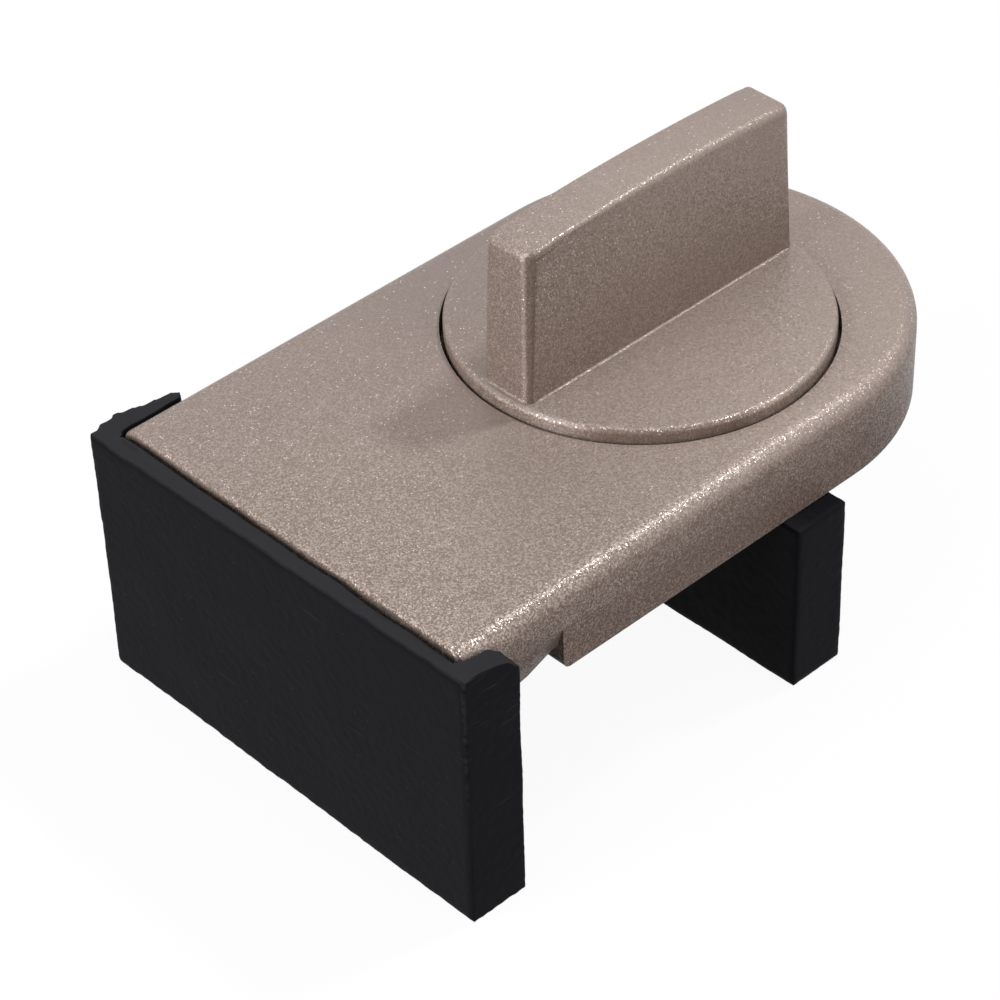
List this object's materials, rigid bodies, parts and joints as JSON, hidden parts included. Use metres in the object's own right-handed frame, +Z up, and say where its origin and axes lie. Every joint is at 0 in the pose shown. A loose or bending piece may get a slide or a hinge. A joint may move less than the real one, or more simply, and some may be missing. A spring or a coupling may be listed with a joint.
{
  "type": "sliding window lock",
  "caption": "Clamp-on sliding window lock: painted cast body with a fixed rubber-clad jaw and a round grip knob that turns the second rubber jaw against a window rail.",
  "frame": {"origin": "centre of the footprint, on the plane that both rubber jaws stand on", "axes": "+X from the fixed jaw to the round end, +Y across the body, +Z up along the knob's axis"},
  "size_m": [0.0502, 0.0336, 0.0312],
  "materials": {
    "champagne_paint": "satin",
    "black_rubber": "matte",
    "bare_casting": "satin",
    "zinc_plated_steel": "satin"
  },
  "bodies": {
    "lock_body": {"housing": "champagne_paint", "fixed_jaw_sleeve": "black_rubber"},
    "turning_knob": {"knob": "champagne_paint", "turning_jaw": "bare_casting", "turning_jaw_sleeve": "black_rubber", "jaw_screws": "zinc_plated_steel", "spring_washer": "zinc_plated_steel"}
  },
  "joints": [
    {"name": "knob_turn", "type": "hinge", "parent": "lock_body", "child": "turning_knob", "pos_m": [0.0064, 0, 0.0165], "axis": [0, 0, 1], "continuous": true}
  ]
}
